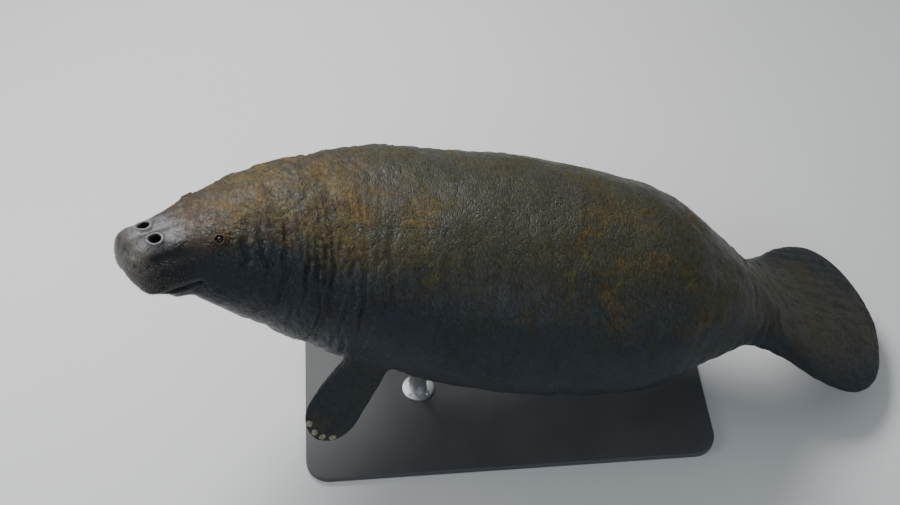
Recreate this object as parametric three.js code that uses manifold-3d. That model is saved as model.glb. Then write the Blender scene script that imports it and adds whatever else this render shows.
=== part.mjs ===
// An adult manatee at life size, coming up to breathe, on a plain display stand.
// Millimetres, +Z up. The origin is the centre of the stand's underside, the head points to -X and the
// left flank faces -Y. A station is a distance along the body from the tip of the snout.

import * as THREE from "three";
import { mergeVertices } from "three/addons/utils/BufferGeometryUtils.js";
import Module from "manifold-3d";

const wasm = await Module();
wasm.setup();

// Whole animal
const BODY_LENGTH = 3000;
const GAP = 0.3; // between touching pieces
const HANDS = { left: 1, right: -1 };
const RING_SIDES = 44;
const RING_ZONES = [
  // rings of the body, closer where the form turns faster
  { to: 70, step: 12 },
  { to: 330, step: 17 },
  { to: 700, step: 28 },
  { to: 2000, step: 62 },
  { to: 2850, step: 42 },
  { to: 2970, step: 22 },
  { to: 2995, step: 8 },
];
const FEELER = { along: 5, around: 0.01 }; // steps that find the skin's slopes
const LEAST_LENGTH = 1e5; // mm3, volume above which a piece of the cut body is one of its lengths

// Body sections. Half width at the widest level, height of the back above that level, depth of the belly
// below it, the level's own height above the spine line, and squareness, where 2 is an ellipse.
const SECTIONS = [
  // place, station, side, back, belly, level, square
  ["lips", 72, 113, 79, 92, -4, 2.5],
  ["snout", 155, 130, 102, 126, -6, 2.4],
  ["eyes", 275, 179, 160, 158, -4, 2.25],
  ["ears", 400, 249, 222, 214, -4, 2.15],
  ["nape", 560, 312, 268, 276, -8, 2.1],
  ["shoulder", 760, 368, 314, 316, -20, 2.1],
  ["chest", 1050, 410, 354, 358, -32, 2.15],
  ["girth", 1370, 428, 374, 388, -34, 2.15],
  ["loin", 1670, 414, 354, 384, -30, 2.1],
  ["rump", 1930, 372, 302, 344, -20, 2.05],
  ["tail root", 2140, 268, 190, 212, -10, 2.0],
  ["peduncle", 2310, 192, 112, 118, -4, 1.9],
  ["paddle root", 2450, 222, 68, 68, 0, 1.8],
  ["paddle blade", 2590, 290, 46, 44, 0, 1.65],
  ["paddle widest", 2730, 324, 31, 29, 0, 1.6],
  ["paddle rim", BODY_LENGTH, 324, 9, 9, 0, 1.7],
];
const MUZZLE_ROUNDING = 70; // length over which the front of the snout rounds off
const MUZZLE_SQUARENESS = 2.5;
const PADDLE_WIDEST = 2730;
const PADDLE_ROUNDNESS = 2.1;

// Soft relief on the body: [station, degrees from the midline of the back, length, spread, height]
const RELIEF = {
  lipPad: [70, 122, 52, 29, 20],
  upperLip: [148, 124, 56, 22, 14],
  philtrum: [26, 180, 34, 16, -9],
  chinSetBack: [24, 180, 62, 34, -40],
  chin: [138, 180, 44, 42, 17],
  chinHollow: [226, 180, 34, 58, -9],
  mouthCorner: [212, 108, 28, 16, -7],
  cheek: [275, 122, 60, 24, 12],
  brow: [254, 46, 46, 16, 6],
  nostrilMound: [93, 16, 34, 18, 9],
  noseFurrow: [93, 0, 60, 5, -5],
  noseBridge: [180, 0, 46, 44, -7],
  templeHollow: [345, 76, 46, 24, -6],
  shoulderBlade: [850, 62, 120, 26, 11],
  flankFold: [980, 128, 60, 24, -10],
  throatFold: [505, 180, 26, 70, -13],
  hip: [1860, 82, 150, 34, 8],
};
const NAPE_FOLDS = [
  { station: 452, depth: 7, length: 26 },
  { station: 655, depth: 7, length: 32 },
];

// Pose, in degrees
const BODY_PITCH = 15;
const NECK_LIFT = { turn: 11, from: 320, to: 800 };
const NECK_TURN = { turn: 22, from: 330, to: 900 };
const NECK_ROLL = { turn: 9, from: 330, to: 900 };
const SNOUT_DROOP = { turn: 13, from: 40, to: 300 };
const SNOUT_TURN = { turn: 8, from: 60, to: 330 };
const TAIL_DROP = { turn: 15, from: 1750, to: 2350 };
const PADDLE_LIFT = { turn: 6, from: 2400, to: 2950 };
const TAIL_SWING = { turn: 8, from: 1700, to: 2700 };
const TAIL_ROLL = { turn: 10, from: 1900, to: 2700 };
const GIRTH_STATION = 1370;
const SPINE_HEIGHT = 750; // of the spine at the girth, above the floor
const SPINE_STEP = 10;

// Cuts that part the body, each at a station
const CUTS = { neck: 452, chest: 655, loin: 1370, tail_stock: 1960, tail_paddle: 2360 };

// Face
const EYE = { station: 254, around: 46, radius: 13, proud: 5 };
const LID = { opening: 12, thickness: 5.5, stretch: 1.3, sunk: 3.2 };
const NOSTRIL = { station: 93, around: 14.5, long: 22, wide: 18, depth: 46, lean: 0.75 };
const NOSTRIL_RIM = { radius: 22, thickness: 5, sunk: 2 };
const EAR = { station: 408, around: 68, radius: 4, depth: 12 };
const MOUTH = {
  corner: 204, // station
  front: 94, // station of the slot's inner edge in front
  innerHalfWidth: 92,
  reach: 96,
  lipHeight: -90, // of the line in front, from the spine
  rise: 40, // of the line from there to the corner
  width: 7,
  notch: 13, // how far the upper lip is drawn up in the middle
  notchSpread: 0.42,
  steps: 26,
};

// Flippers. Sections along the limb: [distance from the shoulder, half chord, half thickness]
const FLIPPER_SECTIONS = [
  [0, 72, 52],
  [120, 72, 47],
  [230, 78, 38],
  [340, 89, 28],
  [450, 95, 19],
  [580, 95, 7],
];
const FLIPPER_LENGTH = 580;
const FLIPPER_ROUND_FROM = 450;
const FLIPPER_ROUNDNESS = 2.2;
const FLIPPER_RIM = 0.35; // least share of the thickness, at the tip
const FLIPPER_SIDES = 20;
const FLIPPER_RINGS = { step: 34, tip: 7, tipShare: 0.95 }; // the last ring stops short of the tip
const FLIPPER_SWEEP = 46;
const FLIPPER_CURL = 34;
const SHOULDER = { station: 920, around: 98, depth: 110, inset: 75 };
const LEFT_REACH = { forward: 0.42, out: 0.22, down: 0.86 };
const RIGHT_REACH = { forward: 0.22, out: 0.46, down: 0.76 };
const NAIL = { count: 4, long: 13, wide: 10, thick: 4.5, inset: 19, first: -0.6, spacing: 0.36 };

// Stand
const BASE = { length: 1560, width: 760, thickness: 24, corner: 90, edge: 3 };
const ROD = { radius: 34, sides: 24, stations: { front: 1020, rear: 1700 }, sunk: 120 };

const UP = new THREE.Vector3(0, 0, 1);
const radians = THREE.MathUtils.degToRad;

// A smooth curve through the given heights at the given places, flat beyond both ends.
function curveThrough(places, heights) {
  const slope = (i) => {
    const before = Math.max(i - 1, 0);
    const after = Math.min(i + 1, places.length - 1);
    return (heights[after] - heights[before]) / (places[after] - places[before]);
  };
  return (x) => {
    if (x <= places[0]) return heights[0];
    const last = places.length - 1;
    if (x >= places[last]) return heights[last];
    const i = places.findIndex((place) => place > x) - 1;
    const span = places[i + 1] - places[i];
    const t = (x - places[i]) / span;
    const startSlope = i === 0 ? 0 : slope(i) * span;
    const endSlope = slope(i + 1) * span;
    return (
      heights[i] * (1 + 2 * t) * (1 - t) ** 2 +
      startSlope * t * (1 - t) ** 2 +
      heights[i + 1] * t * t * (3 - 2 * t) +
      endSlope * t * t * (t - 1)
    );
  };
}

const stations = SECTIONS.map((row) => row[1]);
const column = (index) => curveThrough(stations, SECTIONS.map((row) => row[index]));
const sideCurve = column(2);
const backCurve = column(3);
const bellyCurve = column(4);
const levelCurve = column(5);
const squareCurve = column(6);

// A bend's share at a station. The first kind turns what lies ahead of it, the second what lies behind.
const bendBehind = (bend, station) => bend.turn * THREE.MathUtils.smoothstep(station, bend.from, bend.to);
const bendAhead = (bend, station) => bend.turn - bendBehind(bend, station);

// Direction of the spine at a station, towards the tail.
function tailward(station) {
  const pitch = radians(
    BODY_PITCH +
      bendAhead(NECK_LIFT, station) -
      bendAhead(SNOUT_DROOP, station) +
      bendBehind(TAIL_DROP, station) -
      bendBehind(PADDLE_LIFT, station),
  );
  const heading = radians(
    bendAhead(NECK_TURN, station) + bendAhead(SNOUT_TURN, station) + bendBehind(TAIL_SWING, station),
  );
  return new THREE.Vector3(
    Math.cos(pitch) * Math.cos(heading),
    Math.cos(pitch) * Math.sin(heading),
    -Math.sin(pitch),
  );
}

// Points of the spine, every SPINE_STEP, from the snout's tip to the tail's.
function spinePoints() {
  const points = [new THREE.Vector3()];
  for (let s = 0; s < BODY_LENGTH; s += SPINE_STEP) {
    const step = tailward(s + SPINE_STEP / 2).multiplyScalar(SPINE_STEP);
    points.push(points[points.length - 1].clone().add(step));
  }
  const girth = points[GIRTH_STATION / SPINE_STEP].clone();
  return points.map((p) => p.sub(girth).add(new THREE.Vector3(0, 0, SPINE_HEIGHT)));
}
const SPINE = spinePoints();

// The spine's place and directions at a station: back towards the tail, left and up.
function frameAt(station) {
  const along = THREE.MathUtils.clamp(station, 0, BODY_LENGTH) / SPINE_STEP;
  const i = Math.min(Math.floor(along), SPINE.length - 2);
  const origin = SPINE[i].clone().lerp(SPINE[i + 1], along - i);
  const back = tailward(station);
  const roll = radians(bendAhead(NECK_ROLL, station) - bendBehind(TAIL_ROLL, station));
  const left = back.clone().cross(UP).normalize().applyAxisAngle(back, -roll);
  const up = left.clone().cross(back);
  return { origin, back, left, up };
}

// Shares of the full width and thickness: the snout's front and the paddle's end are rounded off.
function rounding(station) {
  if (station < MUZZLE_ROUNDING) {
    const short = 1 - station / MUZZLE_ROUNDING;
    const share = (1 - short ** MUZZLE_SQUARENESS) ** (1 / MUZZLE_SQUARENESS);
    return { wide: share, thick: share };
  }
  if (station > PADDLE_WIDEST) {
    const over = Math.min((station - PADDLE_WIDEST) / (BODY_LENGTH - PADDLE_WIDEST), 1);
    return { wide: (1 - over ** PADDLE_ROUNDNESS) ** (1 / PADDLE_ROUNDNESS), thick: 1 };
  }
  return { wide: 1, thick: 1 };
}

// Outward relief of the skin, at a station and an angle from the midline of the back.
function relief(station, angle) {
  const around = Math.abs(THREE.MathUtils.radToDeg(angle));
  let height = 0;
  for (const [at, place, length, spread, rise] of Object.values(RELIEF)) {
    height += rise * Math.exp(-(((station - at) / length) ** 2) - ((around - place) / spread) ** 2);
  }
  for (const fold of NAPE_FOLDS) {
    height -= fold.depth * Math.exp(-(((station - fold.station) / fold.length) ** 2));
  }
  return height;
}

// A point of the skin, at a station and an angle in radians from the midline of the back to the left.
function skinPoint(station, angle, grown = 0) {
  const { origin, left, up } = frameAt(station);
  const { wide, thick } = rounding(station);
  const power = 2 / squareCurve(station);
  const side = sideCurve(station) * wide;
  const rise = (Math.cos(angle) > 0 ? backCurve(station) : bellyCurve(station)) * thick;
  const share = (value) => Math.sign(value) * Math.abs(value) ** power;
  const y = side * share(Math.sin(angle));
  const z = rise * share(Math.cos(angle));
  const reach = Math.hypot(y, z) || 1;
  const stretch = 1 + (relief(station, angle) * thick * wide + grown) / reach;
  return origin
    .clone()
    .addScaledVector(left, y * stretch)
    .addScaledVector(up, z * stretch + levelCurve(station) * thick);
}

// A place on the skin with its outward direction and the direction towards the tail.
function skinFrame(station, angle) {
  const point = skinPoint(station, angle);
  const back = skinPoint(station + FEELER.along, angle).sub(point).normalize();
  const before = skinPoint(station, angle - FEELER.around);
  const across = skinPoint(station, angle + FEELER.around).sub(before).normalize();
  const out = across.clone().cross(back).normalize();
  return { point, back, out, across: out.clone().cross(back).negate() };
}

// A closed surface through rings of points, each ring one list, with a point at each end.
function loft(first, rings, last) {
  const count = rings[0].length;
  const points = [first, ...rings.flat(), last];
  const index = [];
  const at = (ring, i) => 1 + ring * count + (i % count);
  for (let i = 0; i < count; i++) {
    index.push(0, at(0, i), at(0, i + 1));
    index.push(points.length - 1, at(rings.length - 1, i + 1), at(rings.length - 1, i));
    for (let ring = 0; ring + 1 < rings.length; ring++) {
      index.push(at(ring, i), at(ring + 1, i), at(ring + 1, i + 1));
      index.push(at(ring, i), at(ring + 1, i + 1), at(ring, i + 1));
    }
  }
  return new THREE.BufferGeometry().setFromPoints(points).setIndex(index);
}

// A three.js geometry as a manifold-3d solid, its faces turned out.
function solid(geometry) {
  const bare = geometry.clone();
  bare.deleteAttribute("normal");
  bare.deleteAttribute("uv");
  const merged = mergeVertices(bare, 1e-3);
  const triVerts = new Uint32Array(merged.index.array);
  const vertProperties = merged.attributes.position.array;
  const made = new wasm.Manifold(new wasm.Mesh({ numProp: 3, vertProperties, triVerts }));
  if (made.volume() > 0) return made;
  for (let i = 0; i < triVerts.length; i += 3) {
    [triVerts[i + 1], triVerts[i + 2]] = [triVerts[i + 2], triVerts[i + 1]];
  }
  return new wasm.Manifold(new wasm.Mesh({ numProp: 3, vertProperties, triVerts }));
}

// The largest closed piece of a solid.
function largest(made) {
  return made.decompose().reduce((a, b) => (b.volume() > a.volume() ? b : a));
}

// A matrix that puts a shape's x, y and z along three directions, at a point.
function placed(x, y, z, point) {
  return new THREE.Matrix4().makeBasis(x, y, z).setPosition(point);
}

// Stations of the body's rings.
function ringStations() {
  const places = [1, 4];
  let station = 10;
  for (const zone of RING_ZONES) {
    for (; station < zone.to; station += zone.step) places.push(station);
  }
  return [...places, BODY_LENGTH - 1];
}

function bodyGeometry(grown) {
  const ring = (station) =>
    Array.from({ length: RING_SIDES }, (_, i) => {
      const turn = (i / RING_SIDES) * 2 * Math.PI;
      return skinPoint(station, turn > Math.PI ? turn - 2 * Math.PI : turn, grown);
    });
  const tip = frameAt(0);
  const end = frameAt(BODY_LENGTH);
  return loft(
    tip.origin.addScaledVector(tip.back, -grown),
    ringStations().map(ring),
    end.origin.addScaledVector(end.back, grown),
  );
}

// Face

function eyeBall(hand, grown) {
  const { point, out } = skinFrame(EYE.station, hand * radians(EYE.around));
  const centre = point.addScaledVector(out, EYE.proud - EYE.radius);
  const ball = new THREE.SphereGeometry(EYE.radius + grown, 14, 10);
  return ball.translate(centre.x, centre.y, centre.z);
}

function eyeLids(hand) {
  const { point, back, out, across } = skinFrame(EYE.station, hand * radians(EYE.around));
  const ring = new THREE.TorusGeometry(LID.opening, LID.thickness, 6, 16).scale(LID.stretch, 1, 1);
  return ring.applyMatrix4(placed(back, across, out, point.addScaledVector(out, -LID.sunk)));
}

function nostril(hand) {
  const { point, back, out, across } = skinFrame(NOSTRIL.station, hand * radians(NOSTRIL.around));
  const inward = out.clone().negate().addScaledVector(back, NOSTRIL.lean).normalize();
  const sideways = inward.clone().cross(across).normalize();
  const crosswise = inward.clone().cross(sideways);
  const pit = new THREE.SphereGeometry(1, 16, 10).scale(NOSTRIL.wide, NOSTRIL.long, NOSTRIL.depth);
  pit.applyMatrix4(placed(sideways, crosswise, inward, point));
  point.addScaledVector(out, -NOSTRIL_RIM.sunk);
  const rim = new THREE.TorusGeometry(NOSTRIL_RIM.radius, NOSTRIL_RIM.thickness, 6, 18);
  rim.scale(NOSTRIL.wide / NOSTRIL.long, 1, 1).applyMatrix4(placed(back, across, out, point));
  return { pit, rim };
}

function earHole(hand) {
  const { point, out } = skinFrame(EAR.station, hand * radians(EAR.around));
  const hole = new THREE.SphereGeometry(1, 10, 8).scale(EAR.radius, EAR.radius, EAR.depth);
  const turn = new THREE.Quaternion().setFromUnitVectors(UP, out);
  return hole.applyQuaternion(turn).translate(point.x, point.y, point.z);
}

// A thin horseshoe that cuts the line of the mouth, open towards the tail and notched up in front.
function mouthSlot() {
  const { corner, front, innerHalfWidth, reach } = MOUTH;
  const section = (i) => {
    const turn = Math.PI / 2 + (Math.PI * i) / MOUTH.steps;
    const ahead = corner + (corner - front) * Math.cos(turn);
    const aside = innerHalfWidth * Math.sin(turn);
    const notch = MOUTH.notch * Math.exp(-(((turn - Math.PI) / MOUTH.notchSpread) ** 2));
    const height = notch + MOUTH.lipHeight + MOUTH.rise * (1 + Math.cos(turn));
    const corners = [[0, -1], [0, 1], [reach, 1], [reach, -1]];
    return corners.map(([out, side]) => {
      const x = ahead - corner / 2 + out * Math.cos(turn);
      return new THREE.Vector3(x, aside + out * Math.sin(turn), height + (side * MOUTH.width) / 2);
    });
  };
  const sections = Array.from({ length: MOUTH.steps + 1 }, (_, i) => section(i));
  const middle = (points) => points[0].clone().lerp(points[2], 0.5);
  const slot = loft(middle(sections[0]), sections, middle(sections[MOUTH.steps]));
  const { origin, back, left, up } = frameAt(corner / 2);
  return slot.applyMatrix4(placed(back, left, up, origin));
}

// Flippers

function flipperFrame(hand, reach) {
  const body = frameAt(SHOULDER.station);
  const skin = skinFrame(SHOULDER.station, hand * radians(SHOULDER.around));
  const along = new THREE.Vector3()
    .addScaledVector(body.back, -reach.forward)
    .addScaledVector(body.left, hand * reach.out)
    .addScaledVector(body.up, -reach.down)
    .normalize();
  const chord = body.back.clone().addScaledVector(along, -body.back.dot(along)).normalize();
  const thick = along.clone().cross(chord).multiplyScalar(hand);
  const root = skin.point
    .clone()
    .addScaledVector(skin.out, -SHOULDER.inset)
    .addScaledVector(along, -SHOULDER.depth);
  return { root, along, chord, thick };
}

const flipperColumn = (index) =>
  curveThrough(
    FLIPPER_SECTIONS.map((row) => row[0]),
    FLIPPER_SECTIONS.map((row) => row[index]),
  );
const flipperChord = flipperColumn(1);
const flipperThickness = flipperColumn(2);

// The share of the full chord that the rounded tip leaves at a distance from the shoulder.
function flipperRounding(distance) {
  const over = Math.max(0, (distance - FLIPPER_ROUND_FROM) / (FLIPPER_LENGTH - FLIPPER_ROUND_FROM));
  return Math.sqrt(Math.max(0, 1 - over ** FLIPPER_ROUNDNESS));
}

// A point of a flipper's skin: distance from the shoulder, and the angle round it from the trailing edge.
function flipperPoint(frame, distance, angle, grown = 0) {
  const round = flipperRounding(distance);
  const share = distance / FLIPPER_LENGTH;
  const chord = flipperChord(distance) * round + grown;
  const thickness = flipperThickness(distance) * Math.max(round, FLIPPER_RIM) + grown;
  return frame.root
    .clone()
    .addScaledVector(frame.along, distance)
    .addScaledVector(frame.chord, FLIPPER_SWEEP * share ** 2 + chord * Math.cos(angle))
    .addScaledVector(frame.thick, FLIPPER_CURL * share ** 2 + thickness * Math.sin(angle));
}

function flipperGeometry(frame, grown) {
  const distances = [];
  for (let d = 0; d < FLIPPER_ROUND_FROM; d += FLIPPER_RINGS.step) distances.push(d);
  for (let i = 0; i <= FLIPPER_RINGS.tip; i++) {
    const swing = (i / FLIPPER_RINGS.tip) * FLIPPER_RINGS.tipShare * (Math.PI / 2);
    distances.push(FLIPPER_ROUND_FROM + (FLIPPER_LENGTH - FLIPPER_ROUND_FROM) * Math.sin(swing));
  }
  const ring = (distance) =>
    Array.from({ length: FLIPPER_SIDES }, (_, i) =>
      flipperPoint(frame, distance, (i / FLIPPER_SIDES) * 2 * Math.PI, grown),
    );
  const middle = (distance) =>
    flipperPoint(frame, distance, 0).lerp(flipperPoint(frame, distance, Math.PI), 0.5);
  return loft(
    middle(0).addScaledVector(frame.along, -grown),
    distances.map(ring),
    middle(FLIPPER_LENGTH).addScaledVector(frame.along, grown),
  );
}

// A nail lies on the outer face near the rim, its place given by a share of the half chord.
function nailGeometry(frame, number) {
  const share = NAIL.first + NAIL.spacing * number;
  const over = Math.sqrt(1 - share * share);
  const distance = FLIPPER_ROUND_FROM + (FLIPPER_LENGTH - FLIPPER_ROUND_FROM) * over - NAIL.inset;
  const angle = Math.acos(share / flipperRounding(distance));
  const point = flipperPoint(frame, distance, angle);
  const next = flipperPoint(frame, distance + FEELER.along, angle).sub(point).normalize();
  const across = flipperPoint(frame, distance, angle - FEELER.around).sub(point).normalize();
  const out = across.clone().cross(next).normalize();
  if (out.dot(frame.thick) < 0) out.negate();
  const nail = new THREE.SphereGeometry(1, 10, 6).scale(NAIL.long, NAIL.wide, NAIL.thick);
  const wide = out.clone().cross(next).normalize();
  return nail.applyMatrix4(placed(wide.clone().cross(out).normalize(), wide, out, point));
}

// Stand

function baseGeometry() {
  const halfLength = BASE.length / 2 - BASE.edge;
  const halfWidth = BASE.width / 2 - BASE.edge;
  const shape = new THREE.Shape();
  shape.moveTo(-halfLength + BASE.corner, -halfWidth);
  shape.absarc(halfLength - BASE.corner, -halfWidth + BASE.corner, BASE.corner, -Math.PI / 2, 0);
  shape.absarc(halfLength - BASE.corner, halfWidth - BASE.corner, BASE.corner, 0, Math.PI / 2);
  shape.absarc(-halfLength + BASE.corner, halfWidth - BASE.corner, BASE.corner, Math.PI / 2, Math.PI);
  shape.absarc(-halfLength + BASE.corner, -halfWidth + BASE.corner, BASE.corner, Math.PI, 1.5 * Math.PI);
  const settings = { bevelSize: BASE.edge, bevelThickness: BASE.edge, bevelSegments: 1, curveSegments: 6 };
  const plate = new THREE.ExtrudeGeometry(shape, { ...settings, depth: BASE.thickness - 2 * BASE.edge });
  return plate.translate(0, 0, BASE.edge);
}

function rodGeometry(station) {
  const { origin } = frameAt(station);
  const foot = BASE.thickness + GAP;
  const top = origin.z - bellyCurve(station) + ROD.sunk;
  const rod = new THREE.CylinderGeometry(ROD.radius, ROD.radius, top - foot, ROD.sides);
  return rod.rotateX(Math.PI / 2).translate(origin.x, origin.y, (top + foot) / 2);
}

// Materials
const finish = (color, roughness, metalness = 0) =>
  new THREE.MeshStandardMaterial({ color, roughness, metalness });
const skinFinish = finish(0x4c4b47, 0.55);
const eyeFinish = finish(0x15110e, 0.1);
const nailFinish = finish(0x8f8874, 0.4);
const baseFinish = finish(0x33373a, 0.5);
const rodFinish = finish(0x9a9da0, 0.35, 1);

const manatee = new THREE.Group();

function addNode(name, made, material) {
  const { vertProperties, triVerts, numProp } = made.getMesh();
  if (numProp !== 3) throw new Error("a solid holds positions only");
  const geometry = new THREE.BufferGeometry();
  geometry.setAttribute("position", new THREE.BufferAttribute(vertProperties, 3));
  geometry.setIndex(new THREE.BufferAttribute(triVerts, 1));
  const mesh = new THREE.Mesh(geometry, material);
  mesh.name = name;
  manatee.add(mesh);
}

// The whole body in one piece, with its face, then parted across the spine.
const grownBody = solid(bodyGeometry(GAP));
let body = solid(bodyGeometry(0));
for (const hand of Object.values(HANDS)) {
  const nose = nostril(hand);
  body = body.add(solid(eyeLids(hand))).add(solid(nose.rim)).subtract(solid(nose.pit));
  body = body.subtract(solid(eyeBall(hand, GAP))).subtract(solid(earHole(hand)));
}
body = body.subtract(solid(mouthSlot()));
for (const station of Object.values(CUTS)) {
  const { origin, back, left, up } = frameAt(station);
  const sheet = new THREE.BoxGeometry(GAP, BODY_LENGTH / 2, BODY_LENGTH / 2);
  body = body.subtract(solid(sheet.applyMatrix4(placed(back, left, up, origin))));
}
const lengths = body
  .decompose()
  .filter((piece) => piece.volume() > LEAST_LENGTH)
  .sort((a, b) => a.boundingBox().min[0] - b.boundingBox().min[0]);
["head", ...Object.keys(CUTS)].forEach((name, i) => addNode(name, lengths[i], skinFinish));

for (const [name, hand] of Object.entries(HANDS)) {
  addNode(`eye_${name}`, solid(eyeBall(hand, 0)), eyeFinish);
  const frame = flipperFrame(hand, hand > 0 ? LEFT_REACH : RIGHT_REACH);
  addNode(`flipper_${name}`, largest(solid(flipperGeometry(frame, 0)).subtract(grownBody)), skinFinish);
  const grownFlipper = solid(flipperGeometry(frame, GAP));
  for (let i = 0; i < NAIL.count; i++) {
    const nail = largest(solid(nailGeometry(frame, i)).subtract(grownFlipper));
    addNode(`nail_${name}_${i + 1}`, nail, nailFinish);
  }
}

addNode("stand_base", solid(baseGeometry()), baseFinish);
for (const [name, station] of Object.entries(ROD.stations)) {
  addNode(`stand_rod_${name}`, largest(solid(rodGeometry(station)).subtract(grownBody)), rodFinish);
}

export default manatee;
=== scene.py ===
import math

import bpy
import numpy as np
from mathutils import Matrix, Vector, noise
from mathutils.kdtree import KDTree


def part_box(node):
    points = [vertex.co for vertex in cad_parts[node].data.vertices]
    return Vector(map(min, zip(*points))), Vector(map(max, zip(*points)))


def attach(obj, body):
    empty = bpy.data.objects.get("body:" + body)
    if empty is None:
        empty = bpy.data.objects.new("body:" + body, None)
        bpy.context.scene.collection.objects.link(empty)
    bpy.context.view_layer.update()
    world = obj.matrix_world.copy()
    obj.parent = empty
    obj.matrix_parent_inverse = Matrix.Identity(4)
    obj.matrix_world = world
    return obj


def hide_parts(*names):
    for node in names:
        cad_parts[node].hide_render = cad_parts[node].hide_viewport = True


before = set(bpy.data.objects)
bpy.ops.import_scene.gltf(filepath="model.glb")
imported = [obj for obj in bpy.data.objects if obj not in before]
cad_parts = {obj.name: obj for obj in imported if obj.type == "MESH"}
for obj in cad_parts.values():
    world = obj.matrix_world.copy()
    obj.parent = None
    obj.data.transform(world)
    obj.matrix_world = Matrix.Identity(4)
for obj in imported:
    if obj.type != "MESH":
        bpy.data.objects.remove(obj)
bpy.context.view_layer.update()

# A life-size manatee for a museum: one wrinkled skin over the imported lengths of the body, with eyes,
# nails, bristles and hairs, on a flat base with two rods. The animal's sizes are in millimetres, and MM
# turns them into metres. Sizes of the stand, the bristles and the room are in metres. A station is a
# distance along the body from the tip of the snout, and an angle runs round the body from the midline of
# the back, positive on the left.

MM = 0.001
BODY_LENGTH = 3000.0
GIRTH_STATION = 1370.0
SPINE_HEIGHT = 750.0
SPINE_STEP = 10.0

SECTIONS = [
    # place, station, half width, height of back, depth of belly, level, squareness
    ("lips", 72, 113, 79, 92, -4, 2.5),
    ("snout", 155, 130, 102, 126, -6, 2.4),
    ("eyes", 275, 179, 160, 158, -4, 2.25),
    ("ears", 400, 249, 222, 214, -4, 2.15),
    ("nape", 560, 312, 268, 276, -8, 2.1),
    ("shoulder", 760, 368, 314, 316, -20, 2.1),
    ("chest", 1050, 410, 354, 358, -32, 2.15),
    ("girth", 1370, 428, 374, 388, -34, 2.15),
    ("loin", 1670, 414, 354, 384, -30, 2.1),
    ("rump", 1930, 372, 302, 344, -20, 2.05),
    ("tail root", 2140, 268, 190, 212, -10, 2.0),
    ("peduncle", 2310, 192, 112, 118, -4, 1.9),
    ("paddle root", 2450, 222, 68, 68, 0, 1.8),
    ("paddle blade", 2590, 290, 46, 44, 0, 1.65),
    ("paddle widest", 2730, 324, 31, 29, 0, 1.6),
    ("paddle rim", BODY_LENGTH, 324, 9, 9, 0, 1.7),
]
MUZZLE_ROUNDING = 70.0
MUZZLE_SQUARENESS = 2.5
PADDLE_WIDEST = 2730.0
PADDLE_ROUNDNESS = 2.1

# Soft swellings and hollows: station, degrees from the midline of the back, length, spread, height
RELIEF = {
    "lip pad": (70, 122, 52, 29, 20),
    "upper lip": (148, 124, 56, 22, 14),
    "philtrum": (26, 180, 34, 16, -9),
    "chin set back": (24, 180, 62, 34, -40),
    "chin": (138, 180, 44, 42, 17),
    "chin hollow": (226, 180, 34, 58, -9),
    "mouth corner": (212, 108, 28, 16, -7),
    "cheek": (275, 122, 60, 24, 12),
    "brow": (254, 46, 46, 16, 6),
    "nostril mound": (93, 16, 34, 18, 9),
    "nose furrow": (93, 0, 60, 5, -5),
    "nose bridge": (180, 0, 46, 44, -7),
    "temple hollow": (345, 76, 46, 24, -6),
    "shoulder blade": (850, 62, 120, 26, 11),
    "flank fold": (980, 128, 60, 24, -10),
    "throat fold": (505, 180, 26, 70, -13),
    "hip": (1860, 82, 150, 34, 8),
}
# Folds that run right round the neck: station and length
NAPE_FOLDS = {452: 26, 655: 32}
NAPE_FOLD_DEPTH = 7

# Pose: degrees of each bend and the stations between which it turns
BODY_PITCH = 15.0
NECK_LIFT = (11, 320, 800)
NECK_TURN = (22, 330, 900)
NECK_ROLL = (9, 330, 900)
SNOUT_DROOP = (13, 40, 300)
SNOUT_TURN = (8, 60, 330)
TAIL_DROP = (15, 1750, 2350)
PADDLE_LIFT = (6, 2400, 2950)
TAIL_SWING = (8, 1700, 2700)
TAIL_ROLL = (10, 1900, 2700)

# Face
EYE = {"station": 254, "around": 46, "long": 13.5, "wide": 10.5, "lid": 5.0, "socket": 11.0}
NOSTRIL = {
    "station": 93,
    "around": 14.5,
    "long": 21.0,
    "wide": 20.0,
    "depth": 36.0,
    "lean": 0.45,
    "rim": 3.8,
}
EAR = {"station": 408, "around": 68, "radius": 5.0, "depth": 8.0}
MOUTH = {
    "corner": 204,
    "front": 94,
    "half width": 92,
    "lip height": -90,
    "rise": 40,
    "notch": 13,
    "notch spread": 0.42,
    "depth": 15.0,
    "width": 4.5,
}

# Flippers: distance from the shoulder, half chord, half thickness
FLIPPER_SECTIONS = [
    (0, 72, 52),
    (120, 72, 47),
    (230, 78, 38),
    (340, 89, 28),
    (450, 95, 19),
    (580, 95, 7),
]
FLIPPER = {"length": 580.0, "round from": 450.0, "roundness": 2.2, "rim": 0.35, "sweep": 46, "curl": 34}
SHOULDER = {"station": 920, "around": 98, "depth": 110, "inset": 75}
REACH = {"left": (0.42, 0.22, 0.86), "right": (0.22, 0.46, 0.76)}
NAIL = {"count": 4, "long": 13.5, "wide": 10.5, "thick": 5.0, "inset": 19.0, "first": -0.6, "spacing": 0.36}
HAND = {"left": 1, "right": -1}

# Creases across the body: their stations
NECK_CREASES = range(345, 905, 34)
THROAT_CREASES = (428, 486, 548, 622, 704)
TAIL_CREASES = (2196, 2248, 2305, 2352, 2404)
FLANK_CREASES = range(985, 2150, 48)
FLIPPER_CREASES = range(150, 330, 26)  # distances from the shoulder

# How finely the meshes are drawn
BODY_RINGS = 378
HALF_SIDES = 120
FLIPPER_SIDES = 72
FLIPPER_RING_STEP = 8.0
FLIPPER_ROOT = 60  # the first ring, inside the body
FLIPPER_TIP_RINGS = 16
EYE_ROWS = 40
EYE_SIDES = 64
NAIL_ROWS = 22
NAIL_SIDES = 32
TUBE_SIDES = 72

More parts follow.
